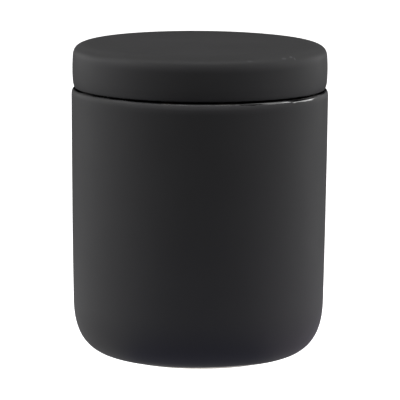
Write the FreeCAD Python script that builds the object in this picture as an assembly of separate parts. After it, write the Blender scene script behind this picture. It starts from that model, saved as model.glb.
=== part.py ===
import FreeCAD, Part
import math
import os

# Sugar bowl: a straight-sided round stoneware pot with a flat lift-off lid.
# Millimetres, +Z up, origin on the table under the middle of the foot ring.
# Every piece is a turned form, so each is one closed profile revolved about Z.

V = FreeCAD.Vector

# ---------------------------------------------------------------- dimensions
# pot, outside
R_RIM = 41.58          # outer radius just under the rim
R_LOW = 40.67          # outer radius where the wall meets the base curve
WALL_CROWN = 0.107     # how far the wall stands out of a straight line, half way up
H_POT = 87.85          # rim height
Z_BASE_CURVE = 18.78   # height where the base curve starts
A_BASE_CURVE = 17.37   # how far the base curve runs inwards
H_BASE = 0.46          # height of the base's underside above the table
BASE_TENSION = 0.68    # 0.552 would be an ellipse; more is squarer
RIM_OUT_A = 0.95       # rim's outer edge rounding, radial
RIM_OUT_B = 2.20       # and vertical: it starts low and turns in late
RIM_TENSION_V = 0.80
RIM_TENSION_R = 0.64
# foot ring, left unglazed
R_FOOT_OUT = 24.9      # outer radius of the foot ring
R_FOOT_IN = 21.4       # inner radius of the foot ring
FOOT_EDGE = 0.25
Z_UNDER_RECESS = 1.00  # height of the recessed underside inside the foot ring
# pot, inside
R_BORE = 37.30         # bore radius at the mouth
R_BORE_LOW = 36.45     # bore radius at the top of the floor's fillet
RIM_IN_R = 1.20            # rim's inner edge rounding
R_FLOOR_FILLET = 13.0
Z_FLOOR = 6.20
# lid
R_LID = 41.35          # at the middle of its side
LID_CROWN = 0.125      # how far that stands out of the side's ends
SHADOW_GAP = 0.30      # between the rim and the lid's flange, outside its seat ring
H_LID = 14.65          # flange face to the top
LID_LOW_A = 1.25       # lower outer edge rounding, radial
LID_LOW_B = 2.80       # and vertical
LID_TOP_A = 8.20       # upper outer edge rounding, radial
LID_TOP_B = 4.35       # and vertical
LID_TENSION_R = 0.90   # it leaves the flat top late
LID_TENSION_V = 0.54   # and runs into the side gently
LID_TOP_T = 5.00       # thickness of the lid's top
R_SEAT_IN = 38.50      # seat ring that bears on the rim
R_SEAT_OUT = 39.30
# spigot that drops into the pot's mouth, hollow like the lid above it
R_SPIGOT_OUT = 36.20
R_SPIGOT_IN = 32.40
SPIGOT_DROP = 7.20     # below the flange face
SPIGOT_EDGE = 0.90
R_RECESS_FILLET = 3.5
# groove round the spigot and the silicone ring in it
GROOVE_D = 1.20
GROOVE_Z0 = 2.00       # groove's lower side, above the spigot's end
GROOVE_H = 3.40
SEAL_CLEAR = 0.04      # between the ring and each side of its groove
FIN_REACH = 0.98       # fins' reach beyond the spigot
FIN_T = 0.55
FIN_RISE = 0.55        # fins lean up by this much over their reach
FIN_PITCH = 1.55

Z_FLANGE = H_POT + SHADOW_GAP
Z_TOP = Z_FLANGE + H_LID
Z_SPIGOT = Z_FLANGE - SPIGOT_DROP
Z_LID_UNDER = Z_TOP - LID_TOP_T


# ------------------------------------------------------------------- helpers
def pt(rz):
    return V(rz[0], 0.0, rz[1])


def line(a, b):
    return Part.LineSegment(pt(a), pt(b)).toShape()


def bezier(*poles):
    curve = Part.BezierCurve()
    curve.setPoles([pt(p) for p in poles])
    return curve.toShape()


def arc(centre, radius, a0, a1):
    """Circular arc from angle a0 to a1, in degrees, in the r-z plane."""
    at = lambda a: (centre[0] + radius * math.cos(math.radians(a)),
                    centre[1] + radius * math.sin(math.radians(a)))
    return Part.Arc(pt(at(a0)), pt(at((a0 + a1) / 2.0)), pt(at(a1))).toShape()


def corner(start, control, end, tension=0.5523):
    """A rounded corner that leaves start towards control and reaches end from it."""
    mix = lambda p: (p[0] + (control[0] - p[0]) * tension,
                     p[1] + (control[1] - p[1]) * tension)
    return bezier(start, mix(start), mix(end), end)


def turned(edges):
    """Closed profile in the r-z plane, revolved once about Z."""
    wire = Part.Wire(Part.__sortEdges__(edges))
    solid = Part.Face(wire).revolve(V(0, 0, 0), V(0, 0, 1), 360)
    if solid.ShapeType != "Solid":
        solid = Part.Solid(Part.Shell(solid.Faces))
    if solid.Volume < 0:
        solid.reverse()
    return solid


# ----------------------------------------------------------------------- pot
def make_pot():
    e = []
    z_wall_top = H_POT - RIM_OUT_B
    # underside: recess, foot ring, then the flat of the base
    e.append(line((0, Z_UNDER_RECESS), (R_FOOT_IN - 0.6, Z_UNDER_RECESS)))
    e.append(line((R_FOOT_IN - 0.6, Z_UNDER_RECESS), (R_FOOT_IN, FOOT_EDGE)))
    e.append(corner((R_FOOT_IN, FOOT_EDGE), (R_FOOT_IN + 0.05, 0), (R_FOOT_IN + FOOT_EDGE, 0)))
    e.append(line((R_FOOT_IN + FOOT_EDGE, 0), (R_FOOT_OUT - FOOT_EDGE, 0)))
    e.append(corner((R_FOOT_OUT - FOOT_EDGE, 0), (R_FOOT_OUT, 0), (R_FOOT_OUT, FOOT_EDGE)))
    # base curve, from the foot out and up into the wall
    r0 = R_LOW - A_BASE_CURVE
    slope = (R_RIM - R_LOW) / (z_wall_top - Z_BASE_CURVE)
    height = Z_BASE_CURVE - H_BASE
    poles = [(r0, H_BASE), (r0 + A_BASE_CURVE * BASE_TENSION, H_BASE),
             (R_LOW - slope * height * BASE_TENSION, Z_BASE_CURVE - height * BASE_TENSION),
             (R_LOW, Z_BASE_CURVE)]
    # the curve is cut where the foot ring's outer side meets it
    curve = Part.BezierCurve()
    curve.setPoles([pt(p) for p in poles])
    lo, hi = 0.0, 1.0
    for _ in range(60):
        mid = (lo + hi) / 2.0
        if curve.value(mid).x < R_FOOT_OUT + 0.15:
            lo = mid
        else:
            hi = mid
    cut = (lo + hi) / 2.0
    start = curve.value(cut)
    curve.segment(cut, 1.0)
    e.append(line((R_FOOT_OUT, FOOT_EDGE), (start.x, start.z)))
    e.append(curve.toShape())
    # wall, a shallow crown, then the rim
    mid = ((R_LOW + R_RIM) / 2.0 + 2.0 * WALL_CROWN, (Z_BASE_CURVE + z_wall_top) / 2.0)
    e.append(bezier((R_LOW, Z_BASE_CURVE), mid, (R_RIM, z_wall_top)))
    e.append(bezier((R_RIM, z_wall_top), (R_RIM, z_wall_top + RIM_OUT_B * RIM_TENSION_V),
                    (R_RIM - RIM_OUT_A * (1.0 - RIM_TENSION_R), H_POT), (R_RIM - RIM_OUT_A, H_POT)))
    e.append(line((R_RIM - RIM_OUT_A, H_POT), (R_BORE + RIM_IN_R, H_POT)))
    e.append(arc((R_BORE + RIM_IN_R, H_POT - RIM_IN_R), RIM_IN_R, 90, 180))
    # bore, floor fillet, floor
    z_fillet = Z_FLOOR + R_FLOOR_FILLET
    e.append(line((R_BORE, H_POT - RIM_IN_R), (R_BORE_LOW, z_fillet)))
    e.append(arc((R_BORE_LOW - R_FLOOR_FILLET, z_fillet), R_FLOOR_FILLET, 0, -90))
    e.append(line((R_BORE_LOW - R_FLOOR_FILLET, Z_FLOOR), (0, Z_FLOOR)))
    e.append(line((0, Z_FLOOR), (0, Z_UNDER_RECESS)))
    return turned(e)


# ----------------------------------------------------------------------- lid
def make_lid():
    e = []
    r_groove = R_SPIGOT_OUT - GROOVE_D
    g0 = Z_SPIGOT + GROOVE_Z0
    g1 = g0 + GROOVE_H
    z_seat = H_POT
    # top and outside
    z0, z1 = Z_FLANGE + LID_LOW_B, Z_TOP - LID_TOP_B
    r_end = R_LID - LID_CROWN
    slant = 4.0 * LID_CROWN / (z1 - z0)     # the crowned side's slope at its ends
    e.append(line((0, Z_TOP), (R_LID - LID_TOP_A, Z_TOP)))
    e.append(bezier((R_LID - LID_TOP_A, Z_TOP), (R_LID - LID_TOP_A * (1.0 - LID_TENSION_R), Z_TOP),
                    (r_end - slant * LID_TOP_B * LID_TENSION_V, z1 + LID_TOP_B * LID_TENSION_V), (r_end, z1)))
    e.append(bezier((r_end, z1), (r_end + 2.0 * LID_CROWN, (z0 + z1) / 2.0), (r_end, z0)))
    e.append(bezier((r_end, z0), (r_end - slant * LID_LOW_B * 0.5523, z0 - LID_LOW_B * 0.5523),
                    (R_LID - LID_LOW_A * 0.4477, Z_FLANGE), (R_LID - LID_LOW_A, Z_FLANGE)))
    # flange, with the seat ring that bears on the rim
    e.append(line((R_LID - LID_LOW_A, Z_FLANGE), (R_SEAT_OUT + 0.1, Z_FLANGE)))
    e.append(line((R_SEAT_OUT + 0.1, Z_FLANGE), (R_SEAT_OUT, z_seat)))
    e.append(line((R_SEAT_OUT, z_seat), (R_SEAT_IN, z_seat)))
    e.append(line((R_SEAT_IN, z_seat), (R_SEAT_IN - 0.1, Z_FLANGE)))
    e.append(line((R_SEAT_IN - 0.1, Z_FLANGE), (R_SPIGOT_OUT + 0.5, Z_FLANGE)))
    e.append(arc((R_SPIGOT_OUT + 0.5, Z_FLANGE - 0.5), 0.5, 90, 180))
    # spigot's outside, with the seal's groove
    e.append(line((R_SPIGOT_OUT, Z_FLANGE - 0.5), (R_SPIGOT_OUT, g1)))
    e.append(line((R_SPIGOT_OUT, g1), (r_groove, g1)))
    e.append(line((r_groove, g1), (r_groove, g0)))
    e.append(line((r_groove, g0), (R_SPIGOT_OUT, g0)))
    e.append(line((R_SPIGOT_OUT, g0), (R_SPIGOT_OUT, Z_SPIGOT + SPIGOT_EDGE)))
    e.append(arc((R_SPIGOT_OUT - SPIGOT_EDGE, Z_SPIGOT + SPIGOT_EDGE), SPIGOT_EDGE, 0, -90))
    e.append(line((R_SPIGOT_OUT - SPIGOT_EDGE, Z_SPIGOT), (R_SPIGOT_IN + SPIGOT_EDGE, Z_SPIGOT)))
    e.append(arc((R_SPIGOT_IN + SPIGOT_EDGE, Z_SPIGOT + SPIGOT_EDGE), SPIGOT_EDGE, -90, -180))
    # the hollow under the lid's top
    e.append(line((R_SPIGOT_IN, Z_SPIGOT + SPIGOT_EDGE), (R_SPIGOT_IN, Z_LID_UNDER - R_RECESS_FILLET)))
    e.append(arc((R_SPIGOT_IN - R_RECESS_FILLET, Z_LID_UNDER - R_RECESS_FILLET), R_RECESS_FILLET, 0, 90))
    e.append(line((R_SPIGOT_IN - R_RECESS_FILLET, Z_LID_UNDER), (0, Z_LID_UNDER)))
    e.append(line((0, Z_LID_UNDER), (0, Z_TOP)))
    return turned(e)


# ---------------------------------------------------------------------- seal
def make_seal():
    """Silicone ring: a flat band in the groove and two thin fins that wipe the bore."""
    r_in = R_SPIGOT_OUT - GROOVE_D + SEAL_CLEAR
    z0 = Z_SPIGOT + GROOVE_Z0 + SEAL_CLEAR
    z1 = z0 + GROOVE_H - 2.0 * SEAL_CLEAR
    r_band = R_SPIGOT_OUT + 0.05
    r_tip = R_SPIGOT_OUT + FIN_REACH
    pts = [(r_in, z0), (r_band, z0)]
    e = []
    z_fin = z0 + 0.35
    for k in range(2):
        zf = z_fin + k * FIN_PITCH
        pts.append((r_band, zf))
        pts.append((r_tip - 0.18, zf + FIN_RISE))
        pts.append("tip")
        pts.append((r_tip - 0.18, zf + FIN_RISE + 0.36))
        pts.append((r_band, zf + FIN_T))
    pts += [(r_band, z1), (r_in, z1)]
    i = 0
    while i < len(pts) - 1:
        a, b = pts[i], pts[i + 1]
        if b == "tip":
            c = pts[i + 2]
            m = (r_tip, (a[1] + c[1]) / 2.0)
            e.append(Part.Arc(pt(a), pt(m), pt(c)).toShape())
            i += 2
        else:
            e.append(line(a, b))
            i += 1
    e.append(line(pts[-1], pts[0]))
    return turned(e)


PIECES = {
    "pot": make_pot,
    "lid": make_lid,
    "lid_seal": make_seal,
}

os.makedirs("parts", exist_ok=True)
for name, make in PIECES.items():
    shape = make()
    shape.exportStep(os.path.join("parts", name + ".step"))
    box = shape.BoundBox
    print("%-10s valid %s  volume %.2f cm3  z %.2f..%.2f  r %.2f" % (
        name, shape.isValid(), shape.Volume / 1000.0, box.ZMin, box.ZMax, box.XMax))
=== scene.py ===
import math

import bmesh
import bpy
from mathutils import Matrix, Vector


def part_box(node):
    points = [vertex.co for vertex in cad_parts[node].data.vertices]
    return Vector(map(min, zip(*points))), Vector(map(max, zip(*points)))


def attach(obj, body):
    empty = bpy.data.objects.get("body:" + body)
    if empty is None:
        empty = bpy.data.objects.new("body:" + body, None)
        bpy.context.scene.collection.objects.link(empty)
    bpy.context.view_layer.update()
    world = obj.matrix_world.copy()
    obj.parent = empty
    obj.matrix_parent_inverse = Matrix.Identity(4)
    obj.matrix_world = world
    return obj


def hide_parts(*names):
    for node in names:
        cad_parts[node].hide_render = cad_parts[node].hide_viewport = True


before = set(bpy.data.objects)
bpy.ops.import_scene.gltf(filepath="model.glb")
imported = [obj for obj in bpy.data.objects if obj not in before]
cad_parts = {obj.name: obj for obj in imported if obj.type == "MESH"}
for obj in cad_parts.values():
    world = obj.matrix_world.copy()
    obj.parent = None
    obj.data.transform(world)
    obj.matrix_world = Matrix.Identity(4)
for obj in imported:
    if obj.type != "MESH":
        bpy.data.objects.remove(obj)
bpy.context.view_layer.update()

# Looks for a lidded stoneware sugar bowl: a matte charcoal coating over
# stoneware, black gloss glaze where the coating stops, and a bare clay foot.
# Profiles are in millimetres in the row frame and become metres in lathe().

POT_LO, POT_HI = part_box("pot")
LID_LO, LID_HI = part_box("lid")
SEAL_LO, SEAL_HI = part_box("lid_seal")

MM = 0.001
SEGS = 192

# sizes taken from the frame
R_RIM = POT_HI.x / MM
H_POT = POT_HI.z / MM
R_LID = LID_HI.x / MM
Z_TOP = LID_HI.z / MM
Z_SPIGOT = LID_LO.z / MM
R_TIP = SEAL_HI.x / MM
Z_SEAL0 = SEAL_LO.z / MM
Z_SEAL1 = SEAL_HI.z / MM

# the rest of the turned profiles
R_LOW, Z_CURVE, A_CURVE, H_BASE, TENSION = 40.67, 18.78, 17.37, 0.46, 0.68
CROWN = 0.107
RIM_A, RIM_B, RIM_TV, RIM_TR = 0.95, 2.20, 0.80, 0.64
R_FOOT_OUT, R_FOOT_IN, Z_UNDER = 24.9, 21.4, 1.0
R_BORE, R_BORE_LOW, R_FLOOR, Z_FLOOR, RIM_IN = 37.30, 36.45, 13.0, 6.20, 1.20
GAP = 0.30
Z_FLANGE = H_POT + GAP
LOW_A, LOW_B = 1.25, 2.80
TOP_A, TOP_B, TOP_TR, TOP_TV = 8.20, 4.35, 0.90, 0.54
LID_CROWN = 0.125
Z_UNDERSIDE = Z_TOP - 5.0
R_SEAT_IN, R_SEAT_OUT = 38.50, 39.30
R_SPIGOT, R_RECESS, RECESS_FILLET = 36.20, 32.40, 3.5
GROOVE_D, GROOVE_Z, GROOVE_H = 1.20, 2.00, 3.40


# ------------------------------------------------------------------ profiles
def bez(p0, p1, p2, p3, n):
    out = []
    for i in range(n + 1):
        t = i / n
        a, b, c, d = (1 - t) ** 3, 3 * (1 - t) ** 2 * t, 3 * (1 - t) * t * t, t ** 3
        out.append((a * p0[0] + b * p1[0] + c * p2[0] + d * p3[0],
                    a * p0[1] + b * p1[1] + c * p2[1] + d * p3[1]))
    return out


def corner(s, c, e, n, tension=0.5523):
    """A rounded corner that leaves s towards c and reaches e from it."""
    mix = lambda p: (p[0] + (c[0] - p[0]) * tension, p[1] + (c[1] - p[1]) * tension)
    return bez(s, mix(s), mix(e), e, n)


def arc(cx, cz, r, a0, a1, n):
    return [(cx + r * math.cos(math.radians(a0 + (a1 - a0) * i / n)),
             cz + r * math.sin(math.radians(a0 + (a1 - a0) * i / n))) for i in range(n + 1)]


def span(a, b, n):
    return [(a[0] + (b[0] - a[0]) * i / n, a[1] + (b[1] - a[1]) * i / n) for i in range(n + 1)]


def soften(points, n=5):
    """A polyline of (r, z, radius) with each corner rounded by its radius."""
    out = [points[0][:2]]
    for before, here, after in zip(points, points[1:], points[2:]):
        p = Vector(here[:2])
        a, b = Vector(before[:2]) - p, Vector(after[:2]) - p
        if here[2] <= 0:
            out.append(tuple(p))
            continue
        half = a.angle(b) / 2
        reach = min(here[2] / math.tan(half), a.length * 0.49, b.length * 0.49)
        s, e = p + a.normalized() * reach, p + b.normalized() * reach
        for i in range(n + 1):
            t = i / n
            q = s * (1 - t) ** 2 + p * 2 * t * (1 - t) + e * t * t
            out.append((q.x, q.y))
    out.append(points[-1][:2])
    return out


def join(*runs):
    out = []
    for run in runs:
        for q in run:
            if not out or math.hypot(q[0] - out[-1][0], q[1] - out[-1][1]) > 1e-5:
                out.append(q)
    return out


# --------------------------------------------------------------------- lathe
def uneven(r, z, a):
    """Thrown and sponged ware is never quite true: a few hundredths of a millimetre."""
    k = min(1.0, r / 30.0)
    dr = 0.016 * math.sin(2 * a + 0.6 + z * 0.02) + 0.010 * math.sin(3 * a - 1.1 - z * 0.05)
    dr += 0.006 * math.sin(7 * a + z * 0.11)
    dz = 0.012 * math.sin(2 * a + 2.1) + 0.006 * math.sin(5 * a + 0.4)
    return k * dr, k * dz


def lathe(name, sections, mats, wobble=1.0, segs=SEGS):
    """A closed turned mesh. sections is [(profile points, material number), ...], end to end."""
    rings, bands = [], []
    for points, mat in sections:
        for q in points:
            if rings and math.hypot(q[0] - rings[-1][0], q[1] - rings[-1][1]) < 1e-5:
                continue
            if rings:
                bands.append(mat)
            rings.append(q)
    bm = bmesh.new()
    grid = []
    for r, z in rings:
        if r < 1e-4:
            grid.append([bm.verts.new((0, 0, z * MM))])
            continue
        row = []
        for i in range(segs):
            a = 2 * math.pi * i / segs
            dr, dz = uneven(r, z, a)
            if z < 0.3:
                dz = 0
            row.append(bm.verts.new(((r + dr * wobble) * MM * math.cos(a),
                                     (r + dr * wobble) * MM * math.sin(a), (z + dz * wobble) * MM)))
        grid.append(row)
    closed = len(grid[0]) > 1 and len(grid[-1]) > 1
    count = len(grid) if closed else len(grid) - 1
    if closed:
        bands.append(sections[-1][1])
    for k in range(count):
        a, b = grid[k], grid[(k + 1) % len(grid)]
        for i in range(segs):
            j = (i + 1) % segs
            if len(a) == 1:
                f = bm.faces.new((a[0], b[j], b[i]))
            elif len(b) == 1:
                f = bm.faces.new((a[i], a[j], b[0]))
            else:
                f = bm.faces.new((a[i], a[j], b[j], b[i]))
            f.material_index = bands[k]
            f.smooth = True
    bmesh.ops.recalc_face_normals(bm, faces=bm.faces)
    mesh = bpy.data.meshes.new(name)
    bm.to_mesh(mesh)
    bm.free()
    for m in mats:
        mesh.materials.append(m)
    obj = bpy.data.objects.new(name, mesh)
    bpy.context.scene.collection.objects.link(obj)
    return obj


# ----------------------------------------------------------------- materials
class Graph:
    """A material of one Principled shader, built by short calls."""

    def __init__(self, name):
        self.mat = bpy.data.materials.new(name)
        self.mat.use_nodes = True
        self.t = self.mat.node_tree
        self.t.nodes.clear()
        self.out = self.t.nodes.new("ShaderNodeOutputMaterial")
        self.bsdf = self.t.nodes.new("ShaderNodeBsdfPrincipled")
        self.t.links.new(self.bsdf.outputs[0], self.out.inputs[0])
        self.p = self.t.nodes.new("ShaderNodeTexCoord").outputs["Object"]
        sep = self.t.nodes.new("ShaderNodeSeparateXYZ")
        self.t.links.new(self.p, sep.inputs[0])
        self.x, self.y, self.z = sep.outputs
        self.r = self.math("SQRT", self.math("ADD", self.math("MULTIPLY", self.x, self.x),
                                             self.math("MULTIPLY", self.y, self.y)))

    def put(self, socket, value):
        if isinstance(value, bpy.types.NodeSocket):
            self.t.links.new(value, socket)
        else:
            socket.default_value = value

    def math(self, op, a, b=0.0, c=0.0, clamp=False):
        n = self.t.nodes.new("ShaderNodeMath")
        n.operation, n.use_clamp = op, clamp
        for s, v in zip(n.inputs, (a, b, c)):
            self.put(s, v)
        return n.outputs[0]

    def step(self, v, lo, hi, a=0.0, b=1.0):
        n = self.t.nodes.new("ShaderNodeMapRange")
        n.interpolation_type = "SMOOTHSTEP"
        for s, x in zip(n.inputs, (v, lo, hi, a, b)):
            self.put(s, x)
        return n.outputs[0]

    def scale(self, v, a, b, lo=0.0, hi=1.0):
        n = self.t.nodes.new("ShaderNodeMapRange")
        for s, x in zip(n.inputs, (v, lo, hi, a, b)):
            self.put(s, x)
        return n.outputs[0]

    def noise(self, size_mm, detail=2.0, rough=0.5, distort=0.0, stretch=None, seed=0.0):
        n = self.t.nodes.new("ShaderNodeTexNoise")
        m = self.t.nodes.new("ShaderNodeMapping")
        m.inputs["Location"].default_value = (seed * 0.37, seed * 0.71, seed * 0.13)
        if stretch:
            m.inputs["Scale"].default_value = stretch
        self.t.links.new(self.p, m.inputs[0])
        self.t.links.new(m.outputs[0], n.inputs["Vector"])
        n.inputs["Scale"].default_value = 1.0 / (size_mm * MM)
        n.inputs["Detail"].default_value = detail
        n.inputs["Roughness"].default_value = rough
        n.inputs["Distortion"].default_value = distort
        return n.outputs["Fac"]

    def specks(self, size_mm, lo, hi, seed=0.0):
        """1 inside sparse round specks about size_mm apart, 0 outside."""
        n = self.t.nodes.new("ShaderNodeTexVoronoi")
        m = self.t.nodes.new("ShaderNodeMapping")
        m.inputs["Location"].default_value = (seed * 0.53, seed * 0.29, seed * 0.61)
        self.t.links.new(self.p, m.inputs[0])
        self.t.links.new(m.outputs[0], n.inputs["Vector"])
        n.inputs["Scale"].default_value = 1.0 / (size_mm * MM)
        return self.step(n.outputs["Distance"], hi, lo)

    def mix(self, f, a, b):
        n = self.t.nodes.new("ShaderNodeMix")
        n.data_type = "RGBA"
        self.put(n.inputs["Factor"], f)
        self.put(n.inputs[6], a)
        self.put(n.inputs[7], b)
        return n.outputs[2]

    def blend(self, f, a, b):
        n = self.t.nodes.new("ShaderNodeMix")
        n.data_type = "FLOAT"
        self.put(n.inputs[0], f)
        self.put(n.inputs[2], a)
        self.put(n.inputs[3], b)
        return n.outputs[0]

    def bump(self, height, mm, normal=None):
        n = self.t.nodes.new("ShaderNodeBump")
        n.inputs["Strength"].default_value = 1.0
        n.inputs["Distance"].default_value = mm * MM
        self.put(n.inputs["Height"], height)
        if normal is not None:
            self.t.links.new(normal, n.inputs["Normal"])
        return n.outputs[0]

    def set(self, **values):
        for k, v in values.items():
            self.put(self.bsdf.inputs[k.replace("_", " ")], v)
        return self.mat


def rgb(r, g, b):
    return (r, g, b, 1.0)


COAT_DARK, COAT_LIGHT = rgb(0.0265, 0.0262, 0.0272), rgb(0.0315, 0.0311, 0.0322)
COAT_WORN = rgb(0.062, 0.061, 0.062)
COAT_NICK = rgb(0.086, 0.086, 0.090)
GLAZE_DARK, GLAZE_THIN = rgb(0.0065, 0.0066, 0.0074), rgb(0.019, 0.0165, 0.0155)
CLAY, CLAY_DARK, CLAY_FLECK = rgb(0.78, 0.745, 0.68), rgb(0.66, 0.615, 0.545), rgb(0.20, 0.155, 0.12)


# strengths of the painted highlight band under the pot's rim
RIM_LIGHT_NEAR, RIM_LIGHT_FAR = 1.1, 0.7


def coat_look(g):
    """Soft-touch charcoal coating: fine even grain, faint cloudiness from spraying."""
    cloud = g.noise(26, 3, 0.55, seed=1)
    drift = g.noise(7, 2, 0.5, seed=2)
    grain = g.noise(0.16, 2, 0.6, seed=3)
    tone = g.math("ADD", g.math("MULTIPLY", cloud, 0.6), g.math("MULTIPLY", drift, 0.25))
    tone = g.math("ADD", tone, g.math("MULTIPLY", grain, 0.35))
    colour = g.mix(g.scale(tone, 0.0, 1.0, 0.35, 0.85), COAT_DARK, COAT_LIGHT)
    rough = g.math("ADD", g.scale(cloud, -0.035, 0.035, 0.3, 0.7), 0.60)
    rough = g.math("ADD", rough, g.scale(grain, -0.03, 0.03, 0.2, 0.8))
    height = g.math("ADD", g.math("MULTIPLY", grain, 0.006), g.math("MULTIPLY", g.noise(1.1, 2, 0.5, seed=4), 0.010))
    return colour, rough, height


def glaze_look(g):
    """Black gloss glaze: deep and smooth, a little wavy, browner where it runs thin."""
    pool = g.noise(9, 2, 0.5, seed=5)
    colour = g.mix(g.step(pool, 0.42, 0.72), GLAZE_DARK, GLAZE_THIN)
    pin = g.specks(2.6, 0.03, 0.07, seed=6)
    rough = g.math("ADD", g.scale(g.noise(3.5, 2, 0.5, seed=7), 0.07, 0.13, 0.3, 0.7), g.math("MULTIPLY", pin, 0.25))
    height = g.math("ADD", g.math("MULTIPLY", g.noise(5.5, 1, 0.4, seed=8), 0.030), g.math("MULTIPLY", pin, -0.012))
    return colour, rough, height


def clay_look(g):
    """Bare fired clay: pale buff, gritty, with small iron flecks."""
    body = g.noise(3.2, 4, 0.6, seed=9)
    grit = g.noise(0.35, 3, 0.65, seed=10)
    fleck = g.specks(1.7, 0.06, 0.14, seed=11)
    colour = g.mix(g.step(body, 0.3, 0.75), CLAY, CLAY_DARK)
    colour = g.mix(g.math("MULTIPLY", fleck, 0.75), colour, CLAY_FLECK)
    rough = g.scale(grit, 0.78, 0.95, 0.25, 0.75)
    height = g.math("ADD", g.math("MULTIPLY", grit, 0.035), g.math("MULTIPLY", body, 0.02))
    return colour, rough, height


def blend_looks(g, a, b, mask):
    return (g.mix(mask, a[0], b[0]), g.blend(mask, a[1], b[1]), g.blend(mask, a[2], b[2]))


def toward(g, degrees):
    """Cosine of the angle round the axis from this azimuth; 0 is the front and 90 the right."""
    s, c = math.sin(math.radians(degrees)), math.cos(math.radians(degrees))
    along = g.math("ADD", g.math("MULTIPLY", g.x, s), g.math("MULTIPLY", g.y, -c))
    return g.math("DIVIDE", along, g.math("MAXIMUM", g.r, 1e-5))


def edge_scuffs(g, near, lo=0.60, hi=0.72):
    """Small rubbed marks, only where near is 1."""
    a = g.noise(1.3, 4, 0.7, seed=12)
    b = g.noise(9, 2, 0.5, seed=13)
    return g.math("MULTIPLY", g.math("MULTIPLY", g.step(a, lo, hi), g.step(b, 0.48, 0.62)), near)


# azimuth in degrees, height below the top, half width, half height (mm) and strength
NICKS = [(41.6, 1.55, 1.00, 0.30, 0.75), (46.2, 1.35, 0.60, 0.30, 0.95), (47.9, 2.00, 0.30, 0.50, 0.75),
         (39.5, 0.14, 0.40, 0.05, 0.40), (23.0, 1.70, 1.00, 0.25, 0.40)]


def nick(g, azimuth, below, wide, tall, depth, rough):
    """One small pale mark on the lid's shoulder."""
    spread = (wide / (R_LID - 3.0)) ** 2
    across = g.math("MULTIPLY", g.math("SUBTRACT", 1.0, toward(g, azimuth)), 2.0 / spread)
    along = g.math("DIVIDE", g.math("SUBTRACT", g.z, (Z_TOP - below) * MM), tall * MM)
    away = g.math("ADD", g.math("ADD", across, g.math("MULTIPLY", along, along)), rough)
    return g.step(away, 1.4, 0.3, 0.0, depth)


def gain(g, colour, factor):
    """The colour times a factor."""
    n = g.t.nodes.new("ShaderNodeVectorMath")
    n.operation = "SCALE"
    g.put(n.inputs[0], colour)
    g.put(n.inputs["Scale"], factor)
    return n.outputs[0]


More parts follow.
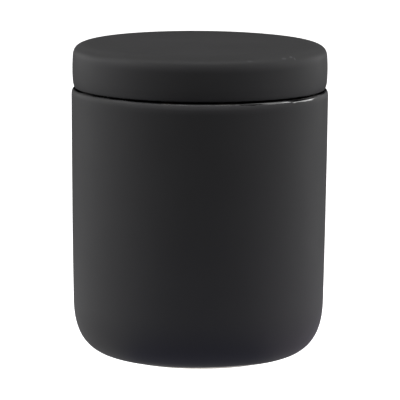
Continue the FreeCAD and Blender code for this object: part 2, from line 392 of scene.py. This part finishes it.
def pot_outside():
    g = Graph("pot_coating")
    coat, glaze, clay = coat_look(g), glaze_look(g), clay_look(g)
    # painted highlight: the coating is made paler in a band under the rim, most at the front, standing in for light
    # that falls there
    front = g.math("POWER", g.scale(toward(g, 0), 0.0, 1.0, 0.60, 1.0), 2.0)
    drop = g.math("SUBTRACT", H_POT * MM, g.z)
    band = g.math("ADD", g.math("MULTIPLY", g.step(drop, 2.4 * MM, 1.1 * MM), RIM_LIGHT_NEAR),
                  g.math("MULTIPLY", g.step(drop, 3.8 * MM, 1.5 * MM), RIM_LIGHT_FAR))
    rim_light_gain = g.math("ADD", g.math("MULTIPLY", g.math("ADD", g.math("MULTIPLY", front, 0.9), 0.1), band), 1.0)
    coat = (gain(g, coat[0], rim_light_gain), coat[1], coat[2])
    # small rubbed marks on the rim's shoulder and low on the base curve
    near_rim = g.step(g.z, (H_POT - 2.4) * MM, (H_POT - 1.5) * MM)
    near_base = g.step(g.z, 6.5 * MM, 1.5 * MM)
    near = g.math("MAXIMUM", g.math("MULTIPLY", near_rim, 0.7), g.math("MULTIPLY", near_base, 0.8))
    scuff = edge_scuffs(g, near)
    coat = (g.mix(scuff, coat[0], COAT_WORN), coat[1], coat[2])
    # the coating stops just short of the lip, lower at the front and lowest on the front right,
    # along a ragged line
    short = g.step(toward(g, 0), 0.44, 0.56)
    bare = g.step(toward(g, 41), 0.905, 0.945)
    deep = g.step(toward(g, 53), 0.955, 0.990)
    left = g.step(toward(g, -50), 0.930, 0.970)
    right = g.step(toward(g, 68), 0.975, 0.992)
    gloss = g.math("ADD", g.math("MULTIPLY", g.step(toward(g, 50), 0.977, 0.993), 0.80),
                   g.math("MULTIPLY", g.step(toward(g, 38), 0.91, 0.965), 0.12))
    ragged = g.math("ADD", g.math("MULTIPLY", g.math("SUBTRACT", g.noise(0.9, 3, 0.6, seed=14), 0.5), 0.35),
                    g.math("MULTIPLY", g.math("SUBTRACT", g.noise(4.0, 1, 0.5, seed=15), 0.5), 0.4))
    ragged = g.math("MULTIPLY", ragged, g.scale(bare, 0.6, 1.6))
    stop = g.math("ADD", g.blend(short, -0.10, -0.38), g.math("MULTIPLY", bare, -0.40))
    stop = g.math("ADD", stop, g.math("MULTIPLY", deep, -0.08))
    stop = g.math("ADD", stop, g.math("SUBTRACT", g.math("MULTIPLY", left, 0.34), g.math("MULTIPLY", right, 0.18)))
    stop = g.math("ADD", g.math("MULTIPLY", stop, MM), H_POT * MM)
    stop = g.math("ADD", stop, g.math("MULTIPLY", ragged, MM))
    rim = g.step(g.math("SUBTRACT", g.z, stop), -0.05 * MM, 0.05 * MM)
    look = blend_looks(g, coat, glaze, rim)
    # and it is wiped off the foot, furthest up at the front right
    wipe = g.math("POWER", g.math("MAXIMUM", toward(g, 24), 0.0), 3.0)
    wipe = g.math("ADD", g.math("MULTIPLY", wipe, 1.50 * MM), 0.40 * MM)
    wipe = g.math("ADD", wipe, g.math("MULTIPLY", g.math("SUBTRACT", g.noise(2.2, 3, 0.55, seed=16), 0.5), 0.25 * MM))
    foot = g.step(g.math("SUBTRACT", wipe, g.z), -0.05 * MM, 0.05 * MM)
    look = blend_looks(g, look, clay, foot)
    # the coating stands proud of what it leaves bare
    lip = g.math("MULTIPLY", g.math("SUBTRACT", 1.0, g.math("MAXIMUM", rim, foot)), 0.05)
    normal = g.bump(g.math("ADD", look[2], lip), 1.0)
    return g.set(Base_Color=look[0], Roughness=look[1], Normal=normal, IOR=1.5,
                 Coat_Weight=g.math("MULTIPLY", rim, gloss), Coat_Roughness=0.07, Coat_IOR=2.2)


def lid_outside():
    g = Graph("lid_coating")
    coat, glaze = coat_look(g), glaze_look(g)
    shoulder = g.math("MULTIPLY", g.step(g.z, (Z_TOP - 3.6) * MM, (Z_TOP - 1.4) * MM),
                      g.step(g.r, (R_LID - 8.0) * MM, (R_LID - 4.0) * MM))
    # painted highlight round the shoulder, strongest at the front, and painted shade darker toward the lower edge by
    # the seam
    front_shoulder_light = g.math("MULTIPLY", g.step(g.z, (Z_TOP - 2.2) * MM, (Z_TOP - 3.3) * MM),
                  g.step(g.z, (Z_TOP - 5.4) * MM, (Z_TOP - 3.6) * MM))
    front_shoulder_light = g.math("MULTIPLY", front_shoulder_light, g.step(toward(g, 0), 0.45, 0.95, 0.25, 1.0))
    tone = g.math("ADD", g.math("MULTIPLY", front_shoulder_light, 0.60), 1.0)
    # painted shade: the coating is darkened toward the lower edge, near the seam under the lid
    tone = g.math("SUBTRACT", tone, g.step(g.z, (Z_FLANGE + 5.0) * MM, (Z_FLANGE + 2.0) * MM, 0.0, 0.14))
    tone = g.math("SUBTRACT", tone, g.step(g.z, (Z_FLANGE + 1.8) * MM, (Z_FLANGE + 0.9) * MM, 0.0, 0.16))
    coat = (gain(g, coat[0], tone), coat[1], coat[2])
    low = g.step(g.z, (Z_FLANGE + 2.6) * MM, (Z_FLANGE + 1.0) * MM)
    scuff = edge_scuffs(g, g.math("MAXIMUM", g.math("MULTIPLY", shoulder, 0.55), g.math("MULTIPLY", low, 0.5)))
    # and a few faint nicks close together on the shoulder, front right
    rough = g.math("MULTIPLY", g.math("SUBTRACT", g.noise(0.5, 2, 0.5, seed=21), 0.5), 2.0)
    nicks = 0.0
    for azimuth, below, wide, tall, depth in NICKS:
        nicks = g.math("MAXIMUM", nicks, nick(g, azimuth, below, wide, tall, depth, rough))
    coat = (g.mix(nicks, g.mix(scuff, coat[0], COAT_WORN), COAT_NICK), coat[1], coat[2])
    ragged = g.math("MULTIPLY", g.math("SUBTRACT", g.noise(1.4, 3, 0.6, seed=17), 0.5), 0.35 * MM)
    under = g.step(g.math("ADD", g.z, ragged), (Z_FLANGE + 0.36) * MM, (Z_FLANGE + 0.26) * MM)
    look = blend_looks(g, coat, glaze, under)
    lip = g.math("MULTIPLY", g.math("SUBTRACT", 1.0, under), 0.05)
    normal = g.bump(g.math("ADD", look[2], lip), 1.0)
    return g.set(Base_Color=look[0], Roughness=look[1], Normal=normal, IOR=1.5)


def inner_glaze():
    g = Graph("gloss_glaze")
    colour, rough, height = glaze_look(g)
    rings = g.noise(2.2, 1, 0.4, stretch=(0.12, 0.12, 1.0), seed=18)
    height = g.math("ADD", height, g.math("MULTIPLY", rings, 0.012))
    return g.set(Base_Color=colour, Roughness=rough, Normal=g.bump(height, 1.0), IOR=1.52)


def bare_clay():
    g = Graph("bare_clay")
    colour, rough, height = clay_look(g)
    return g.set(Base_Color=colour, Roughness=rough, Normal=g.bump(height, 1.0), IOR=1.45)


def silicone():
    g = Graph("seal_silicone")
    milky = g.noise(6, 2, 0.5, seed=19)
    dust = g.noise(0.5, 3, 0.6, seed=20)
    colour = g.mix(g.scale(milky, 0.0, 1.0, 0.3, 0.7), rgb(0.60, 0.595, 0.57), rgb(0.68, 0.675, 0.655))
    rough = g.scale(dust, 0.36, 0.52, 0.3, 0.7)
    height = g.math("ADD", g.math("MULTIPLY", dust, 0.008), g.math("MULTIPLY", milky, 0.02))
    return g.set(Base_Color=colour, Roughness=rough, Normal=g.bump(height, 1.0), IOR=1.42)


POT_MAT, LID_MAT, GLAZE_MAT, CLAY_MAT, SEAL_MAT = (
    pot_outside(), lid_outside(), inner_glaze(), bare_clay(), silicone())


# -------------------------------------------------------------------- pieces
def pot_sections():
    slope = (R_RIM - R_LOW) / (H_POT - RIM_B - Z_CURVE)
    h = Z_CURVE - H_BASE
    curve = bez((R_LOW - A_CURVE, H_BASE), (R_LOW - A_CURVE * (1 - TENSION), H_BASE),
                (R_LOW - slope * h * TENSION, Z_CURVE - h * TENSION), (R_LOW, Z_CURVE), 72)
    curve = [q for q in curve if q[0] > R_FOOT_OUT + 0.35]
    start = curve[0]
    under = soften([(0, Z_UNDER, 0), (8, Z_UNDER, 0), (16, Z_UNDER, 0), (R_FOOT_IN - 0.7, Z_UNDER, 0.5),
                    (R_FOOT_IN, 0.0, 0.35), ((R_FOOT_IN + R_FOOT_OUT) / 2, 0.0, 0), (R_FOOT_OUT - 0.4, 0.0, 0)])
    foot = soften([(R_FOOT_OUT - 0.4, 0.0, 0), (R_FOOT_OUT, 0.0, 0.28), (R_FOOT_OUT + 0.03, 0.45, 0),
                   (R_FOOT_OUT + 0.05, start[1] - 0.02, 0.12), start])
    z1 = H_POT - RIM_B
    wall = []
    for i in range(29):
        t = i / 28
        wall.append((R_LOW + (R_RIM - R_LOW) * t + CROWN * 4 * t * (1 - t), Z_CURVE + (z1 - Z_CURVE) * t))
    rim = bez((R_RIM, z1), (R_RIM, z1 + RIM_B * RIM_TV), (R_RIM - RIM_A * (1 - RIM_TR), H_POT), (R_RIM - RIM_A, H_POT), 20)
    top = span((R_RIM - RIM_A, H_POT), (R_BORE + RIM_IN, H_POT), 3)
    mouth = arc(R_BORE + RIM_IN, H_POT - RIM_IN, RIM_IN, 90, 180, 10)
    bore = span((R_BORE, H_POT - RIM_IN), (R_BORE_LOW, Z_FLOOR + R_FLOOR), 22)
    fillet = arc(R_BORE_LOW - R_FLOOR, Z_FLOOR + R_FLOOR, R_FLOOR, 0, -90, 18)
    floor = span((R_BORE_LOW - R_FLOOR, Z_FLOOR), (0, Z_FLOOR), 7)
    return [(under, 2), (join(foot, curve, wall, rim, top), 0), (join(mouth, bore, fillet, floor), 1)]


def lid_sections():
    top = span((0, Z_TOP), (R_LID - TOP_A, Z_TOP), 9)
    # the side is a little crowned, so both corners leave it at a slant
    z0, z1 = Z_FLANGE + LOW_B, Z_TOP - TOP_B
    rs = R_LID - LID_CROWN
    slant = 4 * LID_CROWN / (z1 - z0)
    shoulder = bez((R_LID - TOP_A, Z_TOP), (R_LID - TOP_A * (1 - TOP_TR), Z_TOP),
                   (rs - slant * TOP_B * TOP_TV, z1 + TOP_B * TOP_TV), (rs, z1), 30)
    side = [(rs + LID_CROWN * 4 * t * (1 - t), z1 + (z0 - z1) * t) for t in (i / 12 for i in range(13))]
    low = bez((rs, z0), (rs - slant * LOW_B * 0.5523, z0 - LOW_B * 0.5523),
              (R_LID - LOW_A * 0.4477, Z_FLANGE), (R_LID - LOW_A, Z_FLANGE), 16)
    g0 = Z_SPIGOT + GROOVE_Z
    g1 = g0 + GROOVE_H
    seat_a = soften([(R_LID - LOW_A, Z_FLANGE, 0), (R_SEAT_OUT + 0.12, Z_FLANGE, 0.08), (R_SEAT_OUT, H_POT, 0.06),
                     (R_SEAT_OUT - 0.2, H_POT, 0)], 3)
    seat = span((R_SEAT_OUT - 0.2, H_POT), (R_SEAT_IN + 0.2, H_POT), 2)
    flange = soften([(R_SEAT_IN + 0.2, H_POT, 0), (R_SEAT_IN, H_POT, 0.06), (R_SEAT_IN - 0.12, Z_FLANGE, 0.08),
                     (R_SPIGOT, Z_FLANGE, 0.5), (R_SPIGOT, g1, 0.12), (R_SPIGOT - GROOVE_D, g1, 0.10),
                     (R_SPIGOT - GROOVE_D, g0, 0.10), (R_SPIGOT, g0, 0.12), (R_SPIGOT, Z_SPIGOT, 0.9),
                     ((R_SPIGOT + R_RECESS) / 2, Z_SPIGOT, 0)], 5)
    inner = soften([((R_SPIGOT + R_RECESS) / 2, Z_SPIGOT, 0), (R_RECESS, Z_SPIGOT, 0.9),
                    (R_RECESS, Z_SPIGOT + 4, 0), (R_RECESS, Z_SPIGOT + 8, 0),
                    (R_RECESS, Z_UNDERSIDE, RECESS_FILLET), (24, Z_UNDERSIDE, 0),
                    (16, Z_UNDERSIDE, 0), (8, Z_UNDERSIDE, 0), (0, Z_UNDERSIDE, 0)], 12)
    return [(join(top, shoulder, side, low), 0), (seat_a, 1), (seat, 2), (flange, 1), (inner, 1)]


def seal_sections():
    r_in = R_SPIGOT - GROOVE_D + 0.04
    band = R_SPIGOT + 0.05
    pts = [(r_in, (Z_SEAL0 + Z_SEAL1) / 2, 0), (r_in, Z_SEAL0, 0.10), (band, Z_SEAL0, 0.10)]
    for k in range(2):
        z = Z_SEAL0 + 0.35 + 1.55 * k
        pts += [(band, z, 0.10), (R_TIP - 0.02, z + 0.60, 0.10), (R_TIP - 0.02, z + 0.92, 0.10), (band, z + 0.55, 0.10)]
    pts += [(band, Z_SEAL1, 0.10), (r_in, Z_SEAL1, 0.10), (r_in, (Z_SEAL0 + Z_SEAL1) / 2 + 0.02, 0)]
    return [(soften(pts, 4), 0)]


def piece(name, sections, mats, body, node, wobble):
    obj = lathe(name, sections, mats, wobble)
    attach(obj, body)
    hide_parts(node)
    return obj


pot = piece("pot_ware", pot_sections(), [POT_MAT, GLAZE_MAT, CLAY_MAT], "pot", "pot", 1.0)
lid = piece("lid_ware", lid_sections(), [LID_MAT, GLAZE_MAT, CLAY_MAT], "lid", "lid", 1.0)
seal = piece("lid_seal_ring", seal_sections(), [SEAL_MAT], "seal_ring", "lid_seal", 0.3)


# --------------------------------------------------------------------- stage
def stage_disc(name, radius, z, mat):
    bm = bmesh.new()
    bmesh.ops.create_circle(bm, cap_ends=True, radius=radius, segments=96)
    mesh = bpy.data.meshes.new(name)
    bm.to_mesh(mesh)
    bm.free()
    mesh.materials.append(mat)
    obj = bpy.data.objects.new(name, mesh)
    obj.location.z = z
    bpy.context.scene.collection.objects.link(obj)
    return obj


def floor_material():
    mat = bpy.data.materials.new("floor_paper")
    mat.use_nodes = True
    t = mat.node_tree
    t.nodes.clear()
    out = t.nodes.new("ShaderNodeOutputMaterial")
    bsdf = t.nodes.new("ShaderNodeBsdfPrincipled")
    bsdf.inputs["Base Color"].default_value = (0.86, 0.86, 0.855, 1)
    bsdf.inputs["Roughness"].default_value = 0.9
    bsdf.inputs["Specular IOR Level"].default_value = 0.0
    bsdf.inputs["Emission Color"].default_value = (1, 1, 1, 1)
    bsdf.inputs["Emission Strength"].default_value = 0.92
    # seen from beneath, the floor isn't there, so the foot can be looked at
    clear = t.nodes.new("ShaderNodeBsdfTransparent")
    geo = t.nodes.new("ShaderNodeNewGeometry")
    mix = t.nodes.new("ShaderNodeMixShader")
    t.links.new(geo.outputs["Backfacing"], mix.inputs[0])
    t.links.new(bsdf.outputs[0], mix.inputs[1])
    t.links.new(clear.outputs[0], mix.inputs[2])
    t.links.new(mix.outputs[0], out.inputs[0])
    return mat


def backdrop_material():
    mat = bpy.data.materials.new("backdrop_paper")
    mat.use_nodes = True
    t = mat.node_tree
    t.nodes.clear()
    out = t.nodes.new("ShaderNodeOutputMaterial")
    em = t.nodes.new("ShaderNodeEmission")
    em.inputs[0].default_value = (1, 1, 1, 1)
    em.inputs[1].default_value = 1.03
    t.links.new(em.outputs[0], out.inputs[0])
    return mat


def camera_only(obj):
    obj.visible_diffuse = False
    obj.visible_glossy = False
    obj.visible_transmission = False
    obj.visible_volume_scatter = False
    obj.visible_shadow = False


floor = stage_disc("floor", 4.9, -0.00004, floor_material())
camera_only(floor)

bm = bmesh.new()
bmesh.ops.create_icosphere(bm, subdivisions=4, radius=5.0)
bmesh.ops.reverse_faces(bm, faces=bm.faces)
mesh = bpy.data.meshes.new("backdrop")
bm.to_mesh(mesh)
bm.free()
mesh.materials.append(backdrop_material())
backdrop = bpy.data.objects.new("backdrop", mesh)
bpy.context.scene.collection.objects.link(backdrop)
camera_only(backdrop)

# -------------------------------------------------------------------- lights
CENTRE = Vector((0, 0, 0.052))


def softbox(name, azimuth, elevation, distance, width, height, radiance, colour=(1, 1, 1)):
    """A rectangular light that faces the object. Azimuth 0 is the camera's side and 90 the right."""
    a, e = math.radians(azimuth), math.radians(elevation)
    away = Vector((math.sin(a) * math.cos(e), -math.cos(a) * math.cos(e), math.sin(e)))
    data = bpy.data.lights.new(name, "AREA")
    data.shape = "RECTANGLE"
    data.size, data.size_y = width, height
    data.energy = radiance * math.pi * width * height
    data.color = colour
    obj = bpy.data.objects.new(name, data)
    obj.location = CENTRE + away * distance
    obj.rotation_mode = "QUATERNION"
    obj.rotation_quaternion = away.to_track_quat("Z", "Y")
    obj.visible_camera = False
    bpy.context.scene.collection.objects.link(obj)
    return obj


LIGHTS = [
    # name, azimuth, elevation, distance, width, height, radiance
    ("left_front_low", -80, 8, 1.2, 0.55, 0.4, 0.36),
    ("left_low", -105, 8, 1.2, 0.55, 0.4, 2.05),
    ("left_back_low", -130, 8, 1.2, 0.55, 0.4, 2.11),
    ("right_low", 105, 8, 1.2, 0.55, 0.4, 2.20),
    ("right_back_low", 130, 8, 1.2, 0.55, 0.4, 2.61),
    ("left_high", -80, 32, 1.25, 0.55, 0.5, 4.49),
    ("right_high", 80, 32, 1.25, 0.55, 0.5, 2.83),
    ("left_back_high", -155, 32, 1.25, 0.55, 0.5, 0.69),
    ("right_back_high", 155, 32, 1.25, 0.55, 0.5, 0.69),
    ("left_top", -90, 55, 1.2, 0.6, 0.5, 1.25),
    ("right_top", 90, 55, 1.2, 0.6, 0.5, 2.19),
    ("front_top", 0, 60, 1.2, 1.2, 0.35, 3.09),
    ("top_front", 0, 70, 1.2, 1.2, 0.35, 1.43),
    ("top_back", 180, 65, 1.2, 1.2, 0.5, 0.46),
]
for row in LIGHTS:
    softbox(*row)


def table_glow(radius):
    """The pale table round the foot sends light up the wall and the base, more from either side."""
    bm = bmesh.new()
    bmesh.ops.create_circle(bm, cap_ends=True, radius=radius, segments=96)
    mesh = bpy.data.meshes.new("table_glow")
    bm.to_mesh(mesh)
    bm.free()
    mat = bpy.data.materials.new("table_glow")
    mat.use_nodes = True
    t = mat.node_tree
    t.nodes.clear()
    out = t.nodes.new("ShaderNodeOutputMaterial")
    em = t.nodes.new("ShaderNodeEmission")
    t.links.new(em.outputs[0], out.inputs[0])
    coords = t.nodes.new("ShaderNodeTexCoord").outputs["Object"]
    dist = t.nodes.new("ShaderNodeVectorMath")
    dist.operation = "LENGTH"
    t.links.new(coords, dist.inputs[0])

    def math_node(op, a, b):
        n = t.nodes.new("ShaderNodeMath")
        n.operation = op
        for socket, v in zip(n.inputs, (a, b)):
            if isinstance(v, bpy.types.NodeSocket):
                t.links.new(v, socket)
            else:
                socket.default_value = v
        return n.outputs[0]

    def ramp(stops, red, blue):
        """Radiance by distance in metres, tinted near the foot but not under it."""
        n = t.nodes.new("ShaderNodeValToRGB")
        t.links.new(math_node("DIVIDE", dist.outputs["Value"], radius), n.inputs[0])
        elements = n.color_ramp.elements
        for k, (r, v) in enumerate(stops):
            e = elements[k] if k < 2 else elements.new(r / radius)
            near = max(0.0, min(1.0, (0.12 - r) / 0.05)) if r > 0.033 else 0.0
            e.position, e.color = r / radius, (v * (1 + red * near), v, v * (1.03 + blue * near), 1)
        return n.outputs[0]

    side_stops = [(0.0, 1.0), (radius, 0.30), (0.0284, 1.0), (0.0300, 0.48), (0.040, 0.48), (0.052, 0.60),
                  (0.10, 0.60), (0.14, 0.66), (0.18, 0.85), (0.29, 0.85)]
    left, right = ramp(side_stops, 0.01, -0.01), ramp(side_stops, 0.08, 0.15)
    before = ramp([(0.0, 1.0), (radius, 0.06), (0.0293, 1.0), (0.0309, 0.33), (0.036, 0.28), (0.052, 0.27),
                   (0.10, 0.37), (0.13, 0.40), (0.17, 0.10)], 0.0, 0.27)
    sep = t.nodes.new("ShaderNodeSeparateXYZ")
    t.links.new(coords, sep.inputs[0])
    sides = t.nodes.new("ShaderNodeMix")
    sides.data_type = "RGBA"
    t.links.new(math_node("GREATER_THAN", sep.outputs[0], 0.0), sides.inputs[0])
    t.links.new(left, sides.inputs[6])
    t.links.new(right, sides.inputs[7])
    lean = math_node("DIVIDE", math_node("ABSOLUTE", sep.outputs[0], 0.0), dist.outputs["Value"])
    turn = t.nodes.new("ShaderNodeMapRange")
    turn.interpolation_type = "SMOOTHSTEP"
    for socket, v in zip(turn.inputs, (lean, 0.55, 0.86, 0.0, 1.0)):
        if isinstance(v, bpy.types.NodeSocket):
            t.links.new(v, socket)
        else:
            socket.default_value = v
    mix = t.nodes.new("ShaderNodeMix")
    mix.data_type = "RGBA"
    t.links.new(turn.outputs[0], mix.inputs[0])
    t.links.new(before, mix.inputs[6])
    t.links.new(sides.outputs[2], mix.inputs[7])
    t.links.new(mix.outputs[2], em.inputs[0])
    em.inputs[1].default_value = 1.0
    mesh.materials.append(mat)
    obj = bpy.data.objects.new("table_glow", mesh)
    bpy.context.scene.collection.objects.link(obj)
    obj.visible_camera = False
    obj.visible_shadow = False


table_glow(0.33)

world = bpy.data.worlds.new("studio")
bpy.context.scene.world = world
world.use_nodes = True
world.node_tree.nodes["Background"].inputs[0].default_value = (1, 1, 1, 1)
world.node_tree.nodes["Background"].inputs[1].default_value = 0.01

# -------------------------------------------------------------------- camera
ELEVATION, DISTANCE, ROLL = 8.405, 1.5, 0.4033
AIM = Vector((0.000303, 0, 0.05129))
cam = bpy.data.objects.new("camera", bpy.data.cameras.new("camera"))
bpy.context.scene.collection.objects.link(cam)
e = math.radians(ELEVATION)
back = Vector((0, -math.cos(e), math.sin(e)))
cam.location = AIM + back * DISTANCE
cam.rotation_mode = "QUATERNION"
look = (-back).to_track_quat("-Z", "Y").to_matrix()
cam.rotation_quaternion = (look @ Matrix.Rotation(math.radians(ROLL), 3, "Z")).to_quaternion()
cam.data.sensor_width = 36.0
cam.data.lens = 3.0747 * DISTANCE * 1000 / 400 * 36.0
cam.data.clip_start, cam.data.clip_end = 0.05, 20.0
bpy.context.scene.camera = cam
bpy.context.scene.view_settings.view_transform = "Standard"
